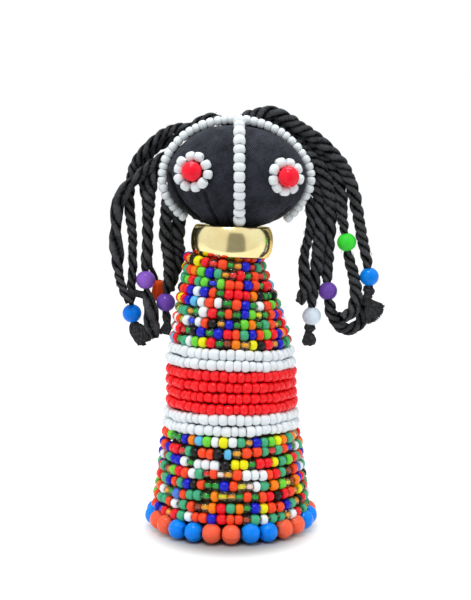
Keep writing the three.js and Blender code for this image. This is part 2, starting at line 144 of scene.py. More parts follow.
# Where a cord is not its full width, as (height, share of the width, how far its plies have closed
# up into a smooth bundle).
CORD_SHAPES = {
    "left_1": [
        (67.5, 0.95, 0.4), (72, 0.95, 0), (78, 1.05, 0), (81, 1.4, 0.6), (84, 1.6, 1),
        (87.5, 1.5, 1), (90, 1.15, 0.5), (92, 1.2, 0.6), (94, 1.5, 0.9), (101, 1.5, 0.9),
        (104, 1.15, 0.7), (108, 1.15, 0.3),
    ],
    "left_2": [
        (57, 1.3, 1), (60, 1.15, 0.7), (62, 0.8, 0.3), (67, 0.75, 0.2), (71, 1, 0), (88, 1, 0),
        (92, 1.15, 0), (98, 1.2, 0), (104, 1.16, 0), (112, 1.08, 0),
    ],
    "left_3": [
        (70, 0.76, 1), (78, 0.76, 1), (81, 1.2, 0), (90, 1.42, 0), (100, 1.45, 0), (108, 1.5, 0),
    ],
    "left_4": [
        (56.6, 0.7, 1), (58, 1, 1), (60.5, 1.6, 1), (64.4, 1.5, 1), (69, 1.2, 0.8),
        (71.5, 0.8, 0.4), (77, 0.85, 0), (79.5, 1.1, 0.3), (84, 1.14, 0.3), (88, 1.05, 0),
        (93, 1.12, 0), (98, 1.3, 0), (104, 1.3, 0),
    ],
    "left_5": [
        (61.5, 0.62, 0.5), (64, 0.8, 0.3), (66, 0.7, 0), (72, 0.85, 0), (78, 1, 0), (88, 1.1, 0),
    ],
    "left_6": [(72, 1, 0), (82, 1, 0), (87, 1.2, 0), (95, 1.3, 0)],
    "right_1": [
        (67.8, 0.85, 0.6), (69.6, 1.1, 0.3), (74, 1.2, 0), (79, 1.15, 0), (82, 0.9, 0), (96, 0.95, 0),
    ],
    "right_2": [
        (59, 0.95, 1), (60.5, 0.9, 0.6), (66, 0.82, 0.2), (70, 1, 0), (76, 1.05, 0), (79, 1.14, 0),
        (92, 1.1, 0),
    ],
    "right_3": [
        (59, 1.04, 0), (66, 1.02, 0), (70, 0.95, 0), (73.5, 0.9, 0.3), (76, 1.06, 0.2),
        (88, 1, 0.2), (98, 1.14, 0),
    ],
    "right_4": [
        (60, 0.95, 0), (64, 1.08, 0), (68, 1.15, 0), (75, 1.05, 0), (88, 0.8, 0), (93, 0.9, 0),
        (98, 1.14, 0),
    ],
    "right_5": [(72, 0.85, 0), (80, 0.92, 0), (95, 1, 0), (100, 1.1, 0)],
}


def linear(code):
    """The linear colour of an sRGB hex code, as four numbers."""
    parts = [int(code[i:i + 2], 16) / 255 for i in (0, 2, 4)]
    return [c / 12.92 if c <= 0.04045 else ((c + 0.055) / 1.055) ** 2.4 for c in parts] + [1]


def add_node(material, kind, inputs, stops=(), **settings):
    """Adds a shader node. An input is a value, an output socket, or a node for its first output.
    A colour ramp has two stops, each a position and an sRGB hex code."""
    tree = material.node_tree
    node = tree.nodes.new("ShaderNode" + kind)
    for name, value in settings.items():
        setattr(node, name, value)
    for name, value in inputs.items():
        if isinstance(value, bpy.types.Node):
            value = value.outputs[0]
        if isinstance(value, bpy.types.NodeSocket):
            tree.links.new(value, node.inputs[name])
        else:
            node.inputs[name].default_value = value
    for i, (position, code) in enumerate(stops):
        node.color_ramp.elements[i].position = position
        node.color_ramp.elements[i].color = linear(code)
    return node


def new_material(name):
    """A node material with nothing in it yet but its Object coordinates."""
    material = bpy.data.materials.new(name)
    material.use_nodes = True
    material.node_tree.nodes.clear()
    return material, add_node(material, "TexCoord", {}).outputs["Object"]


def spun_cord():
    """Spun black polyester cord, matt: painted charcoal light on ply crowns, painted black shade
    between.
    """
    material, place = new_material("spun_black_polyester")
    along = add_node(material, "TexCoord", {}).outputs["UV"]
    crown = add_node(material, "Attribute", {}, attribute_name="crown").outputs["Fac"]
    # Seventy streaks of fibre round each ply, 0.1 mm apart, which lean a little as they run along it.
    turn = add_node(
        material, "VectorMath", {0: along, 1: (2 * math.pi * 9, 2 * math.pi * 70, 0)},
        operation="DOT_PRODUCT",
    )
    streak = add_node(material, "Math", {0: turn.outputs["Value"]}, operation="SINE")
    # The fuzz is as coarse as it needs to be to show.
    fuzz = add_node(material, "TexNoise", {"Vector": place, "Scale": 1500, "Detail": 4})
    height = add_node(material, "Math", {0: streak, 1: 0.22, 2: fuzz}, operation="MULTIPLY_ADD")
    # Painted light and shade: the plies' crowns are painted lighter and the valleys between them
    # darker, as if lit and shaded.
    crown_light_and_valley_shade = add_node(
        material, "MapRange",
        {"Value": crown, "From Min": 0.55, "From Max": 1.02, "To Min": -0.45, "To Max": 0.4},
    )
    tone = add_node(material, "Math", {0: height, 1: crown_light_and_valley_shade}, operation="ADD")
    ramp = add_node(material, "ValToRGB", {"Fac": tone}, stops=[(0.34, "010101"), (1, "56585B")])
    bump = add_node(material, "Bump", {"Height": height, "Strength": 0.6, "Distance": 0.15 * MM})
    shader = add_node(material, "BsdfPrincipled", {
        "Base Color": ramp, "Roughness": 0.7, "IOR": 1.3, "Specular IOR Level": 0.04,
        "Normal": bump,
    })
    add_node(material, "OutputMaterial", {"Surface": shader})
    return material


def smooth_line(points, step):
    """Evenly spaced points, about a step apart, along one smooth curve through the given ones."""
    points = [Vector(point) for point in points]
    held = [2 * points[0] - points[1], *points, 2 * points[-1] - points[-2]]
    dense = [points[0]]
    for before, start, end, after in zip(held, held[1:], held[2:], held[3:]):
        leaving = start + (end - before) / 6
        arriving = end - (after - start) / 6
        dense += interpolate_bezier(start, leaving, arriving, end, 17)[1:]
    table = numpy.array(dense)
    reach = numpy.concatenate([[0], numpy.cumsum(numpy.linalg.norm(numpy.diff(table, axis=0), axis=1))])
    at = numpy.linspace(0, reach[-1], max(2, round(reach[-1] / step)) + 1)
    return [Vector(place) for place in zip(*(numpy.interp(at, reach, table[:, i]) for i in range(3)))]


def with_sides(line):
    """Each point of a line with its direction and two directions across it that don't twist."""
    side = Vector((0.31, 1, 0.17))
    frames = []
    for i, place in enumerate(line):
        along = (line[min(i + 1, len(line) - 1)] - line[max(i - 1, 0)]).normalized()
        side = (side - along * side.dot(along)).normalized()
        frames.append((place, along, side, along.cross(side)))
    return frames


def line_length(line):
    """The length of a line of points."""
    return sum((b - a).length for a, b in zip(line, line[1:]))


def swept_mesh(name, strands, sides_resolution=2):
    """A mesh of round strands. Each strand is a list of (place, radius) in millimetres."""
    curve = bpy.data.curves.new(name, "CURVE")
    curve.dimensions = "3D"
    curve.bevel_depth = MM
    curve.bevel_resolution = sides_resolution
    curve.use_fill_caps = True
    for strand in strands:
        spline = curve.splines.new("POLY")
        spline.points.add(len(strand) - 1)
        for point, (place, radius) in zip(spline.points, strand):
            point.co = (*(place * MM), 1)
            point.radius = radius
    drawn = bpy.data.objects.new(name, curve)
    bpy.context.collection.objects.link(drawn)
    mesh = bpy.data.meshes.new_from_object(drawn.evaluated_get(bpy.context.evaluated_depsgraph_get()))
    bpy.data.objects.remove(drawn)
    bpy.data.curves.remove(curve)
    mesh.shade_smooth()
    mesh.name = name
    return mesh


def place_piece(name, mesh, materials, node):
    """Puts a finished mesh into the scene in place of its CAD node."""
    for material in materials:
        mesh.materials.append(material)
    piece = bpy.data.objects.new(name, mesh)
    bpy.context.collection.objects.link(piece)
    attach(piece, "root")
    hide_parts(node)
    return piece


def laid_strands(line, width, shape, phase):
    """The three plies of a cord along a line, spun thick and thin and laid tight and loose. The
    shape gives a place's share of the full width and how far the plies have closed up there."""
    step = line_length(line) / (len(line) - 1)
    plies = [[], [], []]
    turn = phase
    # Each ply swells and thins by 8 % every 8 mm and by 5 % every 3 mm, and the lay of the cord
    # tightens and slackens every 19 mm. Where the plies are closed up they are hardly laid.
    for i, (place, _, side, up) in enumerate(with_sides(line)):
        run = i * step
        share, closed = shape(place)
        ply = width * share * (0.25 + 0.04 * closed)
        wrap = width * share * (0.25 - 0.04 * closed)
        for k, strand in enumerate(plies):
            angle = turn + 2 * math.pi * k / 3
            slow = 0.08 * math.sin(0.75 * run + 2.3 * k + phase)
            quick = 0.05 * math.sin(1.9 * run + 4.1 * k)
            out = math.cos(angle) * side + math.sin(angle) * up
            strand.append((place + wrap * out, ply * (1 + slow + quick)))
        laid = (1 - 0.75 * closed) * (1 + 0.24 * math.sin(0.33 * run + 2 * phase))
        turn -= 2 * math.pi * step / CORD_LAY * laid
    return plies


def loose_fibres(line, width, chance):
    """Single fibres worked loose from a cord, each a millimetre or two long, that curl off it."""
    fibres = []
    framed = with_sides(line)
    for _ in range(round(line_length(line) * FIBRES_PER_MM)):
        place, along, side, up = chance.choice(framed[2:-2])
        turn = chance.uniform(0, 2 * math.pi)
        out = math.cos(turn) * side + math.sin(turn) * up
        around = along.cross(out) * chance.uniform(-1, 1)
        run = along * chance.choice((-1, 1)) * chance.uniform(0.8, 2)
        rise = chance.uniform(0.05, 0.45)
        fibres.append([
            (place + out * (0.44 * width + rise * share * share) + (run + around) * share, 0.04)
            for share in (0, 0.35, 0.7, 1)
        ])
    return fibres


def mark_crowns(mesh, line, widths):
    """Marks each vertex with how far out it lies in its cord: 1 on a ply's crown, less between."""
    places = numpy.empty(3 * len(mesh.vertices))
    mesh.vertices.foreach_get("co", places)
    places = places.reshape(-1, 3) / MM
    away = numpy.linalg.norm(places[:, None] - numpy.array(line)[None], axis=2)
    nearest = away.argmin(axis=1)
    crown = away.min(axis=1) / (0.5 * numpy.array(widths)[nearest])
    # The crown value sets the cord's painted light on the crowns and painted shade between the plies.
    mesh.attributes.new("crown", "FLOAT", "POINT").data.foreach_set("value", crown)


# The bead threaded on each cord that has one.
CORD_BEADS = {
    "left_2": "left_blue", "left_4": "left_purple", "left_5": "left_inner_purple",
    "left_3": "left_orange", "right_2": "right_white", "right_3": "right_purple",
    "right_4": "right_green", "right_5": "right_blue",
}


def node_middle(node):
    """The middle of a CAD node's box, in millimetres."""
    low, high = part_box(node)
    return (Vector(low) + Vector(high)) / (2 * MM)


cord_material = spun_cord()
fibre_chance = random.Random(11)
hair_lines = {}
hair_cords = {}
for number, (name, route) in enumerate(HAIR_ROUTES.items()):
    line = smooth_line(route, CORD_STEP)
    hair_lines[name] = line
    bead = node_middle("hair_bead_" + CORD_BEADS[name]) if name in CORD_BEADS else None
    heights, shares, closures = zip(*CORD_SHAPES[name])

    def shape(place):
        share = float(numpy.interp(place.z, heights, shares))
        if bead is not None:
            # The cord is drawn thin where it goes into its bead.
            share *= 1 - 0.36 * math.exp(-((place - bead).length / 3.6) ** 4)
        return share, float(numpy.interp(place.z, heights, closures))

    strands = laid_strands(line, CORD_WIDTHS[name], shape, phase=number * 1.7)
    strands += loose_fibres(line, CORD_WIDTHS[name], fibre_chance)
    mesh = swept_mesh("hair_" + name, strands)
    mark_crowns(mesh, line, [CORD_WIDTHS[name] * shape(place)[0] for place in line])
    hair_cords[name] = place_piece(
        "hair_" + name, mesh, [cord_material], "hair_cord_" + name,
    )


# Hair beads. Round beads moulded in glossy opaque plastic, with a hole right through for the cord.
# The orange one is cut into flat facets.
HAIR_BEAD_WIDTH = 5.85
HAIR_BEAD_LENGTH = 5.7
CUT_BEAD_WIDTH = 4.2
CUT_BEAD_LENGTH = 6.2
CUT_BEAD_LEAN = Vector((0.16, -0.1, 1))
CUT_BEAD_ROLL = math.radians(30)
HAIR_BEAD_COLOURS = {
    "left_blue": "0078EC", "left_purple": "8E5ECC", "left_inner_purple": "7048B4",
    "left_orange": "FF5A1E", "right_white": "E2F2FF", "right_purple": "6E4AAC",
    "right_green": "40E03E", "right_blue": "0084EE",
}


def moulded_plastic(name, code):
    """Injection-moulded polystyrene: opaque, glossy, its colour and its surface very slightly
    uneven."""
    material, place = new_material(name)
    cloud = add_node(material, "TexNoise", {"Vector": place, "Scale": 350, "Detail": 2})
    tone = add_node(material, "MapRange", {"Value": cloud, "To Min": 0.84, "To Max": 1.16})
    colour = add_node(material, "HueSaturation", {"Color": linear(code), "Value": tone})
    ripple = add_node(material, "TexNoise", {"Vector": place, "Scale": 900, "Detail": 1})
    bump = add_node(material, "Bump", {"Height": ripple, "Strength": 0.12, "Distance": 0.1 * MM})
    shader = add_node(material, "BsdfPrincipled", {
        "Base Color": colour, "Roughness": 0.12, "IOR": 1.5,
        "Specular IOR Level": 0.18, "Normal": bump,
    })
    add_node(material, "OutputMaterial", {"Surface": shader})
    return material


def spin_round(shape, steps):
    """Spins a closed outline a full turn round +Z."""
    bmesh.ops.spin(
        shape, geom=shape.verts[:] + shape.edges[:], cent=(0, 0, 0), axis=(0, 0, 1),
        angle=2 * math.pi, steps=steps, use_merge=True, use_duplicate=False,
    )
    bmesh.ops.remove_doubles(shape, verts=shape.verts, dist=1e-4)
    bmesh.ops.recalc_face_normals(shape, faces=shape.faces)


def turned(profile, steps):
    """A closed outline of (radius, height) turned round +Z, as a bmesh."""
    shape = bmesh.new()
    ring = [shape.verts.new((radius, 0, height)) for radius, height in profile]
    for pair in zip(ring, ring[1:] + ring[:1]):
        shape.edges.new(pair)
    spin_round(shape, steps)
    return shape


def as_mesh(shape, name, smooth=True):
    """The finished mesh of a bmesh, which it frees."""
    mesh = bpy.data.meshes.new(name)
    shape.to_mesh(mesh)
    shape.free()
    if smooth:
        mesh.shade_smooth()
    return mesh


def round_bead(width, length, hole, bands):
    """A round bead on +Z in millimetres with a hole of this radius through it, as a bmesh."""
    mouth = math.acos(2 * hole / width)
    turns = [mouth * (2 * i / bands - 1) for i in range(bands + 1)]
    profile = [(width / 2 * math.cos(turn), length / 2 * math.sin(turn)) for turn in turns]
    return turned(profile, 2 * bands)


def along_axis(place, along, roll=0):
    """A matrix in metres that stands a millimetre mesh at a place with its +Z along a direction."""
    turn = along.to_track_quat("Z", "Y").to_matrix().to_4x4() @ Matrix.Rotation(roll, 4, "Z")
    return Matrix.Translation(place * MM) @ turn @ Matrix.Scale(MM, 4)


def cut_bead(width, length, hole):
    """A six-sided bead on +Z with bevelled rims and a hole of this radius, as a bmesh."""
    outside = [(0.4, 0.5), (0.5, 0.36), (0.5, -0.36), (0.4, -0.5)]
    profile = [(share * width, height * length) for share, height in outside]
    profile += [(hole, -0.5 * length), (hole, 0.5 * length)]
    return turned(profile, 6)


hair_beads = {}
for cord_name, name in CORD_BEADS.items():
    line = hair_lines[cord_name]
    middle = node_middle("hair_bead_" + name)
    cut = name == "left_orange"
    if cut:
        bead = cut_bead(CUT_BEAD_WIDTH, CUT_BEAD_LENGTH, hole=0.8)
        stand = along_axis(middle, CUT_BEAD_LEAN, CUT_BEAD_ROLL)
    else:
        bead = round_bead(HAIR_BEAD_WIDTH, HAIR_BEAD_LENGTH, hole=0.85, bands=14)
        nearest = min(range(1, len(line) - 1), key=lambda i: (line[i] - middle).length)
        stand = along_axis(middle, line[nearest + 1] - line[nearest - 1])
    bmesh.ops.transform(bead, matrix=stand, verts=bead.verts)
    hair_beads[name] = place_piece(
        "bead_" + name, as_mesh(bead, "bead_" + name, smooth=not cut),
        [moulded_plastic("plastic_" + name, HAIR_BEAD_COLOURS[name])],
        "hair_bead_" + name,
    )


# Cord ends. Below three beads the cord is knotted, waxed into a smooth bundle and cut short. Below
# the right blue bead it is knotted and its fibres are combed out into a fan.
def bundle(points, widths):
    """Waxed fibres packed round a line, as strands: one in the middle and eight round it, twisted a
    little. The widths are spread evenly along it."""
    line = smooth_line(points, 0.35)
    strands = [[] for _ in range(9)]
    for i, (place, _, side, up) in enumerate(with_sides(line)):
        share = i / (len(line) - 1)
        width = float(numpy.interp(share, numpy.linspace(0, 1, len(widths)), widths))
        strands[0].append((place, 0.36 * width))
        for k, strand in enumerate(strands[1:]):
            angle = 2 * math.pi * k / 8 + 2.5 * share
            out = math.cos(angle) * side + math.sin(angle) * up
            strand.append((place + 0.31 * width * out, 0.19 * width))
    return strands


def wrap_turns(middle, across, thick, turns, tilt):
    """One strand wound round and round, as the outside of a knot."""
    places = []
    for i in range(round(20 * turns) + 1):
        angle = 2 * math.pi * i / 20
        rise = 0.62 * thick * (i / 20 - turns / 2)
        spot = Vector((across / 2 * math.cos(angle), 0.8 * across / 2 * math.sin(angle), rise))
        places.append((middle + Matrix.Rotation(tilt, 3, "Y") @ spot, thick / 2))
    return places


def frayed(start, aims, lengths, spread, fibres, seed):
    """Loose fibres that fan out from a point between two directions, in degrees below level. Their
    length runs from the first to the second with the direction."""
    chance = random.Random(seed)
    strands = []
    for _ in range(fibres):
        turn = chance.random()
        aim = math.radians(aims[0] + turn * (aims[1] - aims[0]))
        reach = (lengths[0] + turn * (lengths[1] - lengths[0])) * chance.uniform(0.86, 1)
        bend = chance.uniform(-0.2, 0.2)
        deep = chance.uniform(-1, 1) * spread
        strand = []
        for i in range(7):
            share = i / 6
            angle = aim + bend * share
            out = Vector((math.cos(angle), deep * share ** 0.6, -math.sin(angle)))
            strand.append((start + out * reach * share, 0.24 - 0.1 * share))
        strands.append(strand)
    return strands


END_STRANDS = {
    "right_white": (
        bundle([(24.1, 5, 61), (23.8, 5, 59.2), (23.6, 5, 58), (23.9, 5, 56.2), (24, 5, 54.8)],
               [3, 3.6, 1.7, 3.8, 4.4, 3])
        + bundle([(23.1, 4.5, 57), (22.5, 4.5, 55.9), (22.9, 4.7, 54.8)], [1.1, 2.2, 1.5])
        + [wrap_turns(Vector((23.6, 5, 58)), across=1.8, thick=0.9, turns=1.6, tilt=0.2)]
        + frayed(Vector((23.9, 5, 55.6)), (50, 130), (1.3, 1.3), spread=0.5, fibres=40, seed=1)
    ),
    "left_purple": (
        bundle([(-19.8, 5, 63.6), (-19.5, 5, 61.7), (-20.1, 5, 60), (-21.2, 5, 58.5)],
               [3, 2.1, 2.6, 2.2])
        + bundle([(-19.6, 5, 61.8), (-19.2, 5, 60), (-19.8, 5, 57.9)], [1.6, 2.2, 1.8])
        + frayed(Vector((-21, 5, 58.9)), (100, 170), (1.2, 1.2), spread=0.4, fibres=24, seed=2)
    ),
    "left_blue": (
        bundle([(-29.5, 5, 61.6), (-29.3, 5, 59.8), (-28, 5, 57.6), (-26.9, 5, 55.4)],
               [2.4, 4.6, 5, 4])
        + bundle([(-28.4, 4.6, 60.8), (-26.8, 4.4, 59.2), (-25.7, 4.4, 57.4), (-25.4, 4.6, 56)],
                 [1.6, 2.6, 3, 2])
        + bundle([(-29.6, 5, 70.6), (-28.2, 4.6, 70.3), (-26.4, 4.2, 70)], [2.4, 2.2, 2.6])
        + frayed(Vector((-26.9, 5, 56)), (60, 125), (1.6, 1.6), spread=0.6, fibres=60, seed=3)
    ),
    "right_blue": (
        [wrap_turns(Vector((41.9, 5, 71.4)), across=2.6, thick=1.25, turns=1.6, tilt=0.25)]
        + [wrap_turns(Vector((42.1, 5, 70.9)), across=2.1, thick=1.2, turns=1.3, tilt=-0.5)]
        + bundle([(41.9, 5, 72.2), (41.7, 5, 70.6), (41.6, 5, 69.2)], [1.8, 2.6, 3])
        + frayed(Vector((40.6, 5, 69.8)), (34, 80), (6.9, 9), spread=0.24, fibres=460, seed=4)
    ),
}
CORD_ENDS = {
    "right_2": ("right_white", "hair_knot_right_white"),
    "left_5": ("left_purple", "hair_knot_left_purple"),
    "left_2": ("left_blue", "hair_knot_left_blue"),
    "right_5": ("right_blue", "hair_tassel_right"),
}
for name, cord in hair_cords.items():
    pieces = [hair_beads[CORD_BEADS[name]]] if name in CORD_BEADS else []
    if name in CORD_ENDS:
        end, node = CORD_ENDS[name]
        mesh = swept_mesh("end_" + end, END_STRANDS[end], 1)
        # The fibres of an end are painted nearly as light as a ply's crown.
        crown = mesh.attributes.new("crown", "FLOAT", "POINT")
        crown.data.foreach_set("value", [0.9] * len(mesh.vertices))
        pieces.append(place_piece("end_" + end, mesh, [cord_material], node))
    line = hair_lines[name]


# Head. A flattened cushion of black plain-woven cotton, stuffed hard and gathered under its rim,
# which leaves a folded strip at the lower left and creases that run down to the neck.
HEAD_CENTRE = Vector((1.7, 0, 105.5))
HEAD_HALF = Vector((20.8, 10.5, 15.3))
CLOTH_THREAD = 0.5
# The stuffing fills one upper corner best: by how much, where in degrees from the top, how widely.
HEAD_SWELL = (0.045, -32, 27)
# Each crease: its run on the front of the head as (across, up), its depth, which also sets how dark its
# painted shade is, and half its width.
HEAD_CREASES = [
    ([(-20, 1), (-19, -1.8), (-17.8, -4.8), (-15.9, -7.6), (-13.6, -10), (-11.2, -12.3)],
     0.95, 0.55),
    ([(-19.1, -4.6), (-17.6, -7.3), (-15.6, -9.8), (-13.6, -11.8)], 0.45, 0.4),
    ([(-9.4, -4.2), (-8.8, -6.2), (-7.6, -9.6), (-5.4, -13.4)], 0.55, 0.45),
    ([(-3.2, -9.6), (-2.7, -11.4), (-1.9, -13.8)], 0.35, 0.35),
    ([(15.6, -8.6), (13, -10.9), (10.4, -13)], 0.3, 0.4),
]


def crease_distance(across, up, run):
    """How far a place on the front of the head is from a crease's run."""
    spot = Vector((across, up))
    nearest = []
    for start, end in zip(run, run[1:]):
        start = Vector(start)
        stretch = Vector(end) - start
        share = max(0, min(1, (spot - start).dot(stretch) / stretch.length_squared))
        nearest.append((spot - start - share * stretch).length)
    return min(nearest)


def woven_cotton(name, dark, light, thread):
    """Plain-woven cotton: two sets of threads this wide, coarser than real ones so that they show,
    that cross on the bias. It is matt, with painted shade inside a fold."""
    material, place = new_material(name)
    threads = []
    for lean in (38, -52):
        across = add_node(
            material, "Mapping", {"Vector": place, "Rotation": (0, math.radians(lean), 0)},
        )
        # A wave texture makes one band to every 0.3142 of its coordinate at a scale of 1.
        wave = add_node(
            material, "TexWave",
            {"Vector": across, "Scale": 0.3142 / (thread * MM), "Distortion": 1.2, "Detail Scale": 2},
            bands_direction="X",
        )
        threads.append(wave.outputs["Fac"])
    weave = add_node(material, "Math", {0: threads[0], 1: threads[1]}, operation="MAXIMUM")
    # Painted shade: the fold attribute darkens the cloth inside each crease.
    fold = add_node(material, "Attribute", {}, attribute_name="fold").outputs["Fac"]
    lint = add_node(
        material, "TexNoise", {"Vector": place, "Scale": 260, "Detail": 5, "Roughness": 0.7},
    )
    tone = add_node(material, "Math", {0: weave, 1: lint}, operation="MULTIPLY")
    fold_shaded_tone = add_node(material, "Math", {0: tone, 1: fold}, operation="SUBTRACT")
    ramp = add_node(material, "ValToRGB", {"Fac": fold_shaded_tone}, stops=[(0.18, dark), (0.6, light)])
    bump = add_node(material, "Bump", {"Height": weave, "Strength": 1, "Distance": 0.6 * thread * MM})
    shader = add_node(material, "BsdfPrincipled", {
        "Base Color": ramp, "Roughness": 0.75, "Specular IOR Level": 0.14,
        "Sheen Weight": 0.04, "Sheen Roughness": 0.5, "Normal": bump,
    })
    add_node(material, "OutputMaterial", {"Surface": shader})
    return material


head = bmesh.new()
bmesh.ops.create_uvsphere(head, u_segments=200, v_segments=110, radius=1)
bmesh.ops.scale(head, vec=HEAD_HALF, verts=head.verts)
fold = head.verts.layers.float.new("fold")
fullest, corner, spread = HEAD_SWELL
for vert in head.verts:
    swell = math.exp(-((math.degrees(math.atan2(vert.co.x, vert.co.z)) - corner) / spread) ** 2)
    vert.co += Vector((vert.co.x, 0, vert.co.z)) * fullest * swell
    if vert.co.y > 0:
        continue
    outward = Vector([c / h ** 2 for c, h in zip(vert.co, HEAD_HALF)]).normalized()
    for run, depth, half in HEAD_CREASES:
        away = crease_distance(vert.co.x, vert.co.z, run) / half
        if away < 4:
            vert.co -= outward * depth * (math.exp(-away ** 2) - 0.35 * math.exp(-(away - 1.7) ** 2))
            # Painted shade: each crease stores how dark its cloth is painted.
            vert[fold] = max(vert[fold], 0.5 * depth * math.exp(-away ** 2))
bmesh.ops.translate(head, vec=HEAD_CENTRE, verts=head.verts)
bmesh.ops.scale(head, vec=(MM, MM, MM), verts=head.verts)
mesh = as_mesh(head, "head_cushion")
head_cloth = woven_cotton("woven_black_cotton", "060709", "474A57", CLOTH_THREAD)
head_piece = place_piece("head_cushion", mesh, [head_cloth], "head")


# Rim, face line and eyes. Opaque white glass seed beads, threaded and stitched down to the head:
# one string round the edge, one down the face and a ring round each red plastic eye bead.
WHITE_GLASS = "EDF4F8"
RIM_BEADS = 42
RIM_ENDS = (-136, 139)
RIM_HALF = (22.3, 17)
RIM_SETBACK = 1.5
LINE_BEADS = 13
LINE_ACROSS = 0.7
LINE_HALF = (12.6, 17.4)
PETAL_PITCH = 2.9
# Each eye: its place across and up the head, its petals, its bead and how far that stands out.
EYES = {"left": (-12.1, 1.5, 10, 5.9, 3.1), "right": (13.5, 0.1, 9, 6.1, 3.9)}
bead_chance = random.Random(43)


def bead_glass(name, roughness, transmission, brightness, paleness=0, depth=0):
    """Seed-bead glass, cut from drawn tube and tumbled hot: glossy, each bead its own colour."""
    material, place = new_material(name)
    colour = add_node(material, "Attribute", {}, attribute_name="bead_colour").outputs["Color"]
    swirl = add_node(material, "TexNoise", {"Vector": place, "Scale": 700, "Detail": 2})
    tone = add_node(
        material, "MapRange",
        {"Value": swirl, "To Min": 0.9 * brightness, "To Max": 1.08 * brightness},
    )
    tinted = add_node(
        material, "HueSaturation", {"Color": colour, "Value": tone, "Saturation": 1 - paleness},
    )
    bump = add_node(material, "Bump", {"Height": swirl, "Strength": 0.15, "Distance": 0.2 * MM})
    shader = add_node(material, "BsdfPrincipled", {
        "Base Color": tinted, "Roughness": roughness, "IOR": 1.52,
        "Specular IOR Level": 0.25, "Transmission Weight": transmission,
        "Subsurface Weight": depth, "Subsurface Radius": (1, 1, 1),
        "Subsurface Scale": 0.7 * MM, "Normal": bump,
    })
    add_node(material, "OutputMaterial", {"Surface": shader})
    return material


def spun_thread():
    """Waxed cotton thread, undyed: matt beige, seen where beads stand apart."""
    material, place = new_material("waxed_cotton_thread")
    fibre = add_node(material, "TexNoise", {"Vector": place, "Scale": 2200, "Detail": 2})
    ramp = add_node(material, "ValToRGB", {"Fac": fibre}, stops=[(0.3, "9C8A6E"), (0.7, "D6C6A6")])
    shader = add_node(material, "BsdfPrincipled", {"Base Color": ramp, "Roughness": 0.8})
    add_node(material, "OutputMaterial", {"Surface": shader})
    return material


# Opaque glass, clear glass, the bright lining that shows through a clear bead's hole, and thread.
OPAQUE, CLEAR, LINING, THREAD = range(4)
BEAD_MATERIALS = [
    bead_glass("opaque_bead_glass", roughness=0.22, transmission=0, brightness=1, depth=0.35),
    bead_glass("clear_bead_glass", roughness=0.04, transmission=1, brightness=1.5, paleness=0.5),
    bead_glass("lined_bead_hole", roughness=0.3, transmission=0, brightness=1.6),
    spun_thread(),
]


def seed_bead(glass):
    """A seed bead on +Z, one unit wide and one unit long: a softly rounded length of tube."""
    half = [(0.17, 0.4), (0.32, 0.5), (0.455, 0.32)]
    bead = turned(half + [(0.5, 0)] + [(radius, -height) for radius, height in reversed(half)], 10)
    for face in bead.faces:
        in_hole = all(math.hypot(vert.co.x, vert.co.y) < 0.2 for vert in face.verts)
        face.material_index = LINING if glass == CLEAR and in_hole else glass
    return as_mesh(bead, "seed_bead")


def thread_loop():
    """A loop of thread round +Z, one unit in radius."""
    loop = bmesh.new()
    bmesh.ops.create_circle(
        loop, segments=5, radius=0.011,
        matrix=Matrix.Translation((1, 0, 0)) @ Matrix.Rotation(math.pi / 2, 4, "X"),
    )
    spin_round(loop, 72)
    for face in loop.faces:
        face.material_index = THREAD
    return as_mesh(loop, "thread_loop")


opaque_seed = seed_bead(OPAQUE)
clear_seed = seed_bead(CLEAR)
thread = thread_loop()


def place_string(name, beads, materials, node):
    """Puts many beads into the scene as one piece, each given as (shape, matrix, colour)."""
    string = bmesh.new()
    for shape, matrix, _ in beads:
        before = len(string.verts)
        string.from_mesh(shape)
        string.verts.ensure_lookup_table()
        bmesh.ops.transform(string, matrix=matrix, verts=string.verts[before:])
    mesh = as_mesh(string, name)
    colours = [colour for shape, _, colour in beads for _ in shape.vertices]
    layer = mesh.color_attributes.new("bead_colour", "FLOAT_COLOR", "POINT")
    layer.data.foreach_set("color", [part for colour in colours for part in colour])
    place_piece(name, mesh, materials, node)


def sized(place, along, across, length, roll=0):
    """A matrix in metres that gives a one-unit shape its size, its place and its direction."""
    return along_axis(place, along, roll) @ Matrix.Diagonal((across, across, length, 1))


def jittered(direction, amount, chance):
    """A direction turned a little off its own."""
    return direction.normalized() + Vector([chance.uniform(-amount, amount) for _ in range(3)])


def off_white(chance):
    """The white of one bead out of a batch."""
    tone = chance.uniform(0.93, 1.0)
    return [part * tone for part in linear(WHITE_GLASS)[:3]] + [1]


def stitched_string(name, route, count, across, node, uneven):
    """White seed beads that fill a route end to end, as many as the real string has. Across is a
    bead's width, and uneven is how much their lengths differ."""
    line = smooth_line(route, 0.1)
    lengths = [1 + bead_chance.uniform(-uneven, uneven) for _ in range(count)]
    stretch = (len(line) - 1) / sum(lengths)
    beads = []
    reached = 0
    for share in lengths:
        at = round((reached + share / 2) * stretch)
        reached += share
        along = line[min(at + 4, len(line) - 1)] - line[max(at - 4, 0)]
        width = across * bead_chance.uniform(0.95, 1.06)
        length = share * stretch * 0.1 * 1.02
        matrix = sized(line[at], jittered(along, 0.06, bead_chance), width, length)
        beads.append((opaque_seed, matrix, off_white(bead_chance)))
    place_string(name, beads, BEAD_MATERIALS, node)


# How far the rim strays outwards from its oval, as (degrees from the top, millimetres).
RIM_STRAY = [
    (-136, 0), (-75, 0.1), (-35, 0.5), (0, 0.4), (30, -0.2), (60, -0.8), (90, 0), (115, -0.6),
    (139, 0),
]
rim_route = []
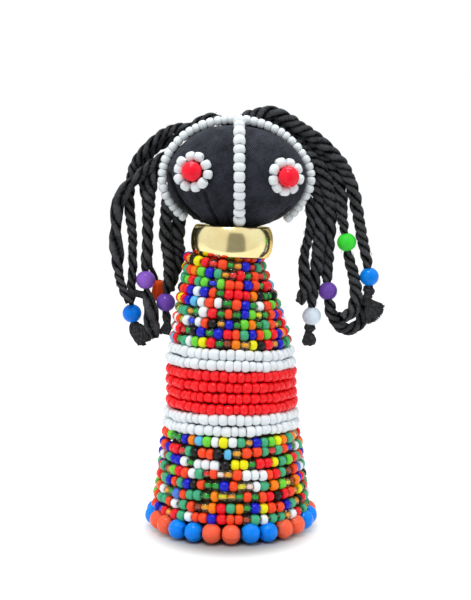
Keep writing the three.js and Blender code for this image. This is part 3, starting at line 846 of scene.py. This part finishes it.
# The two ends of the rim, past 95 degrees from the top, bend away to the back.
for angle in numpy.linspace(*RIM_ENDS, 26):
    turn = math.radians(angle)
    share = max(0, min(1, (abs(angle) - 95) / 44))
    stray = float(numpy.interp(angle, *zip(*RIM_STRAY)))
    rim_route.append(HEAD_CENTRE + Vector((
        (RIM_HALF[0] + stray) * math.sin(turn),
        RIM_SETBACK * (1 + 2 * share ** 2 * (3 - 2 * share)),
        (RIM_HALF[1] + stray) * math.cos(turn),
    )))
stitched_string("rim_string", rim_route, RIM_BEADS, across=3.0, node="rim_beads", uneven=0.12)

line_route = []
for angle in range(14, 143, 8):
    turn = math.radians(angle)
    spot = (LINE_ACROSS, -LINE_HALF[0] * math.sin(turn), LINE_HALF[1] * math.cos(turn))
    line_route.append(HEAD_CENTRE + Vector(spot))
stitched_string("face_string", line_route, LINE_BEADS, across=3.6, node="face_line", uneven=0.2)

eye_plastic = moulded_plastic("moulded_red_plastic", "FB1C34")
for side, (across, up, petals, width, stand) in EYES.items():
    depth = -HEAD_HALF.y * math.sqrt(1 - (across / HEAD_HALF.x) ** 2 - (up / HEAD_HALF.z) ** 2)
    place = Vector((across, depth, up))
    facing = Vector([c / h ** 2 for c, h in zip(place, HEAD_HALF)]).normalized()
    place += HEAD_CENTRE
    turn = facing.to_track_quat("Z", "Y")
    reach = petals * PETAL_PITCH / (2 * math.pi)
    beads = []
    for i in range(petals):
        angle = 2 * math.pi * (i + bead_chance.uniform(-0.13, 0.13)) / petals + 0.5
        out = turn @ Vector((math.cos(angle), math.sin(angle), 0))
        along = facing.cross(out)
        at = place + facing * (1.8 + bead_chance.uniform(-0.2, 0.5))
        at += out * reach * bead_chance.uniform(0.94, 1.06)
        petal_width = bead_chance.uniform(2.9, 3.4)
        length = bead_chance.uniform(2.5, 3.0)
        matrix = sized(at, jittered(along, 0.2, bead_chance), petal_width, length)
        beads.append((opaque_seed, matrix, off_white(bead_chance)))
    place_string(
        side + "_petal_ring", beads, BEAD_MATERIALS, side + "_eye_petals",
    )
    pupil = round_bead(width, width, hole=0.5, bands=14)
    sideways = turn @ Vector((0.3, 1, 0))
    bmesh.ops.transform(pupil, matrix=along_axis(place + facing * stand, sideways), verts=pupil.verts)
    mesh = as_mesh(pupil, side + "_pupil")
    place_piece(side + "_pupil", mesh, [eye_plastic], side + "_eye_bead")


# Neck ring. A short length of brass tube round the neck, its mouth edges rolled in and its outside
# polished. It rests on the top row of beads under the head, and leans a little to one side.
NECK_RADIUS = 12.3
NECK_HEIGHT = 9.2
NECK_FOOT = 82
NECK_WALL = 2
NECK_ROLL = 1.3
NECK_LEAN = 2.5


def polished_brass():
    """Brass tube, buffed bright: pale yellow and mirror-like, a little dulled by handling."""
    material, place = new_material("buffed_brass")
    tarnish = add_node(material, "TexNoise", {"Vector": place, "Scale": 130, "Detail": 3})
    ramp = add_node(
        material, "ValToRGB", {"Fac": tarnish}, stops=[(0.35, "EFDCA0"), (0.65, "F8ECB4")],
    )
    dulling = add_node(material, "MapRange", {"Value": tarnish, "To Min": 0.14, "To Max": 0.19})
    shader = add_node(material, "BsdfPrincipled", {
        "Base Color": ramp, "Metallic": 1, "Roughness": dulling,
        "Specular Tint": linear("E8C888"),
    })
    add_node(material, "OutputMaterial", {"Surface": shader})
    return material


profile = []
for i in range(25):
    share = 2 * i / 24 - 1
    profile.append((NECK_RADIUS - NECK_ROLL * abs(share) ** 2.6, NECK_HEIGHT * (share + 1) / 2))
inside = NECK_RADIUS - NECK_WALL
profile += [(inside + 0.25, NECK_HEIGHT - 0.05), (inside, NECK_HEIGHT - 0.35)]
profile += [(inside, 0.35), (inside + 0.25, 0.05)]
ring = turned(profile, 128)
lean = Matrix.Rotation(math.radians(NECK_LEAN), 4, "Y")
stand = Matrix.Scale(MM, 4) @ Matrix.Translation((0, 0, NECK_FOOT)) @ lean
bmesh.ops.transform(ring, matrix=stand, verts=ring.verts)
mesh = as_mesh(ring, "brass_neck_ring")
place_piece("brass_neck_ring", mesh, [polished_brass()], "neck_ring")


# Rows of seed beads. Each row is one ring of glass beads on a thread, drawn tight round the body:
# opaque beads mixed with smaller clear and gold-lined ones, in no order.
SEED_BEAD = 3.1
RED_GLASS = "FF1C24"
# The smallest gap that still takes a bead, how often a gap is left slack, and how far a bead
# strays across its row.
LEAST_GAP = 1.2
SLACK_CHANCE = 0.12
BEAD_STRAY = 0.12
# The mix: colour, share, clear or opaque.
BEAD_MIX = [
    ("44B082", 17, False), ("FC4A20", 14, False), ("EDF4F8", 12, False), ("F51826", 12, False),
    ("141CC8", 9, False), ("FD850A", 6, False), ("6FD63A", 6, False), ("121212", 3, False),
    ("62BEEC", 1.5, False), ("527CDC", 1, False), ("EFEA0A", 3, False), ("2EB84E", 10, True),
    ("E8A828", 5, True), ("D8D020", 3, True), ("B85C20", 2, True), ("F0DCD0", 1, True),
    ("2844E8", 2, True), ("E83830", 2, True),
]
row_chance = random.Random(7)


def ring_of(node):
    """The middle, the reach and the upward axis of a CAD row, in millimetres."""
    mesh = bpy.data.objects[node].data
    table = numpy.empty(3 * len(mesh.vertices))
    mesh.vertices.foreach_get("co", table)
    table = table.reshape(-1, 3) / MM
    middle = (table.min(axis=0) + table.max(axis=0)) / 2
    axis = Vector(numpy.linalg.svd(table - middle, full_matrices=False)[2][2])
    reach = float(numpy.linalg.norm(table - middle, axis=1).max())
    return Vector(middle), reach, axis if axis.z > 0 else -axis


def mixed_bead(chance):
    """One bead drawn from the mix: its shape, its colour, its width and its length."""
    colour, _, clear = chance.choices(BEAD_MIX, [share for _, share, _ in BEAD_MIX])[0]
    if clear:
        return clear_seed, linear(colour), chance.uniform(2.65, 3.0), chance.uniform(1.8, 2.5)
    return opaque_seed, linear(colour), chance.uniform(3.0, 3.42), chance.uniform(2.0, 2.75)


def white_bead(chance):
    """One white bead, as mixed_bead gives it: some are long and thick, some short and thin."""
    return opaque_seed, off_white(chance), chance.uniform(3.05, 3.6), chance.uniform(1.8, 3.0)


def red_bead(chance):
    """One red bead, as mixed_bead gives it."""
    tone = chance.uniform(0.92, 1.05)
    red = [min(1, part * tone) for part in linear(RED_GLASS)[:3]] + [1]
    return opaque_seed, red, chance.uniform(3.05, 3.5), chance.uniform(1.7, 2.8)


def threaded_row(node, pick, slot, slack, wobble, crowding, outward=0):
    """A ring of beads that fills the row's circle, and the thread through it."""
    middle, reach, axis = ring_of(node)
    radius = reach - SEED_BEAD / 2 + outward
    chosen = []
    filled = 0
    while filled < 2 * math.pi * radius - LEAST_GAP:
        bead = pick(row_chance)
        gap = row_chance.uniform(0, 0.1) + (slack if row_chance.random() < SLACK_CHANCE else 0)
        chosen.append((bead, gap))
        filled += bead[3] + gap
    stretch = 2 * math.pi / filled
    start = row_chance.uniform(0, 2 * math.pi)
    phase = row_chance.uniform(0, 2 * math.pi)
    side = axis.cross(Vector((0, 1, 0))).normalized()
    front = axis.cross(side)
    beads = []
    angle = start
    for (shape, colour, across, length), gap in chosen:
        angle += (length + gap) / 2 * stretch
        out = math.cos(angle) * side + math.sin(angle) * front
        along = axis.cross(out)
        lift = wobble * (math.sin(2 * angle + phase) + 0.6 * math.sin(5 * angle - phase))
        depth = radius + 0.4 * (across - SEED_BEAD) + row_chance.uniform(-BEAD_STRAY, BEAD_STRAY)
        place = middle + out * depth + axis * (lift + row_chance.uniform(-BEAD_STRAY, BEAD_STRAY))
        matrix = sized(
            place, jittered(along, 0.08, row_chance), across, crowding * length,
            row_chance.uniform(0, 1),
        )
        beads.append((shape, matrix, colour))
        angle += (length + gap) / 2 * stretch
    beads.append((thread, sized(middle, axis, radius, radius), linear("FFFFFF")))
    place_string("beads_" + node, beads, BEAD_MATERIALS, node)


# Each band: its rows, its mix, its slot, how wide a slack gap is, how much a row waves and how far
# its beads' rounded ends press into each other.
BANDS = [
    ("skirt_row", 8, mixed_bead, "skirt_glass_beads", 0.8, 0.24, 1.02),
    ("lower_white_row", 2, white_bead, "white_glass_beads", 0.12, 0.15, 1.12),
    ("red_row", 4, red_bead, "red_glass_beads", 0.1, 0.08, 1.13),
    ("upper_white_row", 2, white_bead, "white_glass_beads", 0.12, 0.15, 1.12),
    ("chest_row", 9, mixed_bead, "chest_glass_beads", 0.3, 0.1, 1.03),
]
for band, rows, *winding in BANDS:
    for i in range(1, rows + 1):
        threaded_row(f"{band}_{i}", *winding)
threaded_row("neck_row", mixed_bead, "chest_glass_beads", 0.1, 0.05, 1.03, outward=0.6)


# Foot ring. Round beads moulded in glossy plastic, two orange, two blue and so on, strung on one
# thread and stitched round the foot of the body. Each has a raised seam where its mould closed.
FOOT_BEADS = 26
FOOT_BEAD = 5.9
FOOT_RADIUS = 23.2
FOOT_COLOURS = ("FF6846", "028AFC")
FOOT_SEAM = 0.1


def foot_plastic():
    """Injection-moulded polystyrene, coloured bead by bead: glossy, and light passes a little way
    into it."""
    material, place = new_material("moulded_foot_plastic")
    colour = add_node(material, "Attribute", {}, attribute_name="bead_colour").outputs["Color"]
    cloud = add_node(material, "TexNoise", {"Vector": place, "Scale": 300, "Detail": 2})
    tone = add_node(material, "MapRange", {"Value": cloud, "To Min": 0.93, "To Max": 1.06})
    tinted = add_node(material, "HueSaturation", {"Color": colour, "Value": tone})
    bump = add_node(material, "Bump", {"Height": cloud, "Strength": 0.1, "Distance": 0.2 * MM})
    shader = add_node(material, "BsdfPrincipled", {
        "Base Color": tinted, "Roughness": 0.12, "IOR": 1.5,
        "Specular IOR Level": 0.2, "Subsurface Weight": 0.7,
        "Subsurface Radius": (1, 0.5, 0.5), "Subsurface Scale": 2.5 * MM,
        "Normal": bump,
    })
    add_node(material, "OutputMaterial", {"Surface": shader})
    return material


bead = round_bead(FOOT_BEAD, 0.97 * FOOT_BEAD, hole=0.75, bands=10)
for side in (-FOOT_SEAM, FOOT_SEAM):
    bmesh.ops.bisect_plane(
        bead, geom=bead.verts[:] + bead.edges[:] + bead.faces[:], plane_co=(0, side, 0),
        plane_no=(0, 1, 0),
    )
for vert in bead.verts:
    if abs(vert.co.y) < FOOT_SEAM / 10 and math.hypot(vert.co.x, vert.co.z) > 2:
        vert.co *= 1.02
foot_bead = as_mesh(bead, "foot_bead")
foot_chance = random.Random(26)
beads = []
for i in range(1 - FOOT_BEADS // 2, 1 + FOOT_BEADS // 2):
    turn = 2 * math.pi * i / FOOT_BEADS - math.pi / 2
    out = Vector((math.cos(turn), math.sin(turn), 0))
    along = jittered(Vector((-out.y, out.x, 0)), 0.08, foot_chance)
    colour = linear(FOOT_COLOURS[(i + 1) // 2 % 2])
    # The ring lies on the ground at the front and lifts a little towards the back.
    lift = 0.9 * min(1, 1 + out.y) + 1.1 * max(0, out.y) + foot_chance.uniform(0, 0.25)
    place = out * (FOOT_RADIUS + foot_chance.uniform(-0.25, 0.25))
    place += Vector((0, 0, FOOT_BEAD / 2 + lift))
    beads.append((foot_bead, along_axis(place, along, foot_chance.uniform(0, 6)), colour))
place_string("foot_bead_ring", beads, [foot_plastic()], "foot_ring")


# Core. The body that the rows are wound on, a stuffed cone of dark woven cotton with a flat
# underside. It is seen only between the beads and from below.
core = bpy.data.objects["body_core"]
core_cloth = woven_cotton("woven_core_cotton", "2C231C", "7A6450", CLOTH_THREAD)
for slot in core.material_slots:
    slot.material = core_cloth


# Floor and light. The doll stands on a sheet of paper, grey in its own tone, painted with a glow so
# that it reads white except in an oval round the foot, which is left as a painted shadow. It stands
# in a white room lit by two lamps overhead. Lengths in this section are metres.
bpy.context.scene.view_settings.view_transform = "Standard"
FLOOR_FRONT = -0.105
FLOOR_BACK = 1.5
SHADOW_OVAL_SIDE = 0.03
SHADOW_OVAL_FRONT = 0.043
floor = bmesh.new()
bmesh.ops.create_grid(floor, x_segments=1, y_segments=1, size=1)
bmesh.ops.scale(floor, vec=(FLOOR_BACK, (FLOOR_BACK - FLOOR_FRONT) / 2, 1), verts=floor.verts)
bmesh.ops.translate(floor, vec=(0, (FLOOR_BACK + FLOOR_FRONT) / 2, 0), verts=floor.verts)
mesh = as_mesh(floor, "floor", smooth=False)
paper, place = new_material("white_paper")
grain = add_node(paper, "TexNoise", {"Vector": place, "Scale": 40, "Detail": 2})
tone = add_node(paper, "MapRange", {"Value": grain, "To Min": 0.33, "To Max": 0.35})
# Painted light: the sheet glows in full beyond an oval, and not at all inside one of 0.6 of its
# size, which leaves a painted shadow round the foot.
oval = add_node(
    paper, "VectorMath", {0: place, 1: (1 / SHADOW_OVAL_SIDE, 1 / SHADOW_OVAL_FRONT, 0)}, operation="MULTIPLY",
)
away = add_node(paper, "VectorMath", {0: oval}, operation="LENGTH").outputs["Value"]
painted_glow = add_node(
    paper, "MapRange", {"Value": away, "From Min": 0.6, "From Max": 1, "To Max": 0.8},
    interpolation_type="SMOOTHSTEP",
)
shader = add_node(paper, "BsdfPrincipled", {
    "Base Color": tone, "Roughness": 0.9, "Specular IOR Level": 0,
    "Emission Color": (1, 1, 1, 1), "Emission Strength": painted_glow,
})
add_node(paper, "OutputMaterial", {"Surface": shader})
mesh.materials.append(paper)
floor_piece = bpy.data.objects.new("floor", mesh)
bpy.context.collection.objects.link(floor_piece)

world = bpy.data.worlds.new("studio")
bpy.context.scene.world = world
world.use_nodes = True
world.node_tree.nodes.clear()
toward = add_node(world, "TexCoord", {}).outputs["Generated"]
parts = add_node(world, "SeparateXYZ", {"Vector": toward}).outputs
strength = add_node(
    world, "MapRange", {"Value": parts["Z"], "From Max": 0.8, "To Min": 0.92, "To Max": 0.98},
    interpolation_type="SMOOTHSTEP",
)
# The dark end of the room, in front of the doll, which the brass ring mirrors: a shade with
# leaning sides and a level top. Places on it are given as slopes from the doll.
ahead = add_node(world, "Math", {0: parts["Y"], 1: -1}, operation="MULTIPLY")
ahead = add_node(world, "Math", {0: ahead, 1: 0.01}, operation="MAXIMUM")
aside = add_node(world, "Math", {0: parts["X"], 1: ahead}, operation="DIVIDE")
above = add_node(world, "Math", {0: parts["Z"], 1: ahead}, operation="DIVIDE")
off_side = add_node(world, "Math", {0: aside, 1: 0.28}, operation="SUBTRACT")
off_side = add_node(world, "Math", {0: off_side}, operation="ABSOLUTE")
off_side = add_node(world, "Math", {0: above, 1: 0.16, 2: off_side}, operation="MULTIPLY_ADD")
beside = add_node(world, "MapRange", {"Value": off_side, "From Min": 0.44, "From Max": 0.56})
over = add_node(world, "MapRange", {"Value": above, "From Min": 0.6, "From Max": 0.85})
clear_of = add_node(world, "Math", {0: beside, 1: over}, operation="MAXIMUM")
shade = add_node(world, "MapRange", {"Value": clear_of, "To Min": 0.34, "To Max": 1})
# The room is dimmer behind the doll.
behind = add_node(
    world, "MapRange",
    {"Value": parts["Y"], "From Min": 0.22, "From Max": 0.38, "To Min": 1, "To Max": 0.45},
)
for dimming in (shade, behind):
    strength = add_node(world, "Math", {0: strength, 1: dimming}, operation="MULTIPLY")
# The camera itself sees plain white.
room = add_node(world, "Background", {"Color": (1, 1, 1, 1), "Strength": strength})
plain = add_node(world, "Background", {"Color": (1, 1, 1, 1), "Strength": 1})
seen = add_node(world, "LightPath", {}).outputs["Is Camera Ray"]
mix = add_node(world, "MixShader", {0: seen, 1: room, 2: plain})
add_node(world, "OutputWorld", {"Surface": mix})


def soft_light(name, place, aim, size, watts, colour):
    """A square light that faces a point."""
    lamp = bpy.data.lights.new(name, "AREA")
    lamp.size = size
    lamp.energy = watts
    lamp.color = colour
    light = bpy.data.objects.new(name, lamp)
    bpy.context.collection.objects.link(light)
    light.location = place
    light.rotation_euler = (Vector(aim) - Vector(place)).to_track_quat("-Z", "Y").to_euler()


soft_light(
    "key", (-0.06, -0.22, 0.62), aim=(0, 0, 0.07), size=0.16, watts=1.4, colour=(1, 0.99, 0.97),
)
soft_light(
    "overhead", (0.02, 0.12, 0.5), aim=(0, 0, 0.03), size=0.25, watts=1, colour=(0.86, 0.93, 1),
)
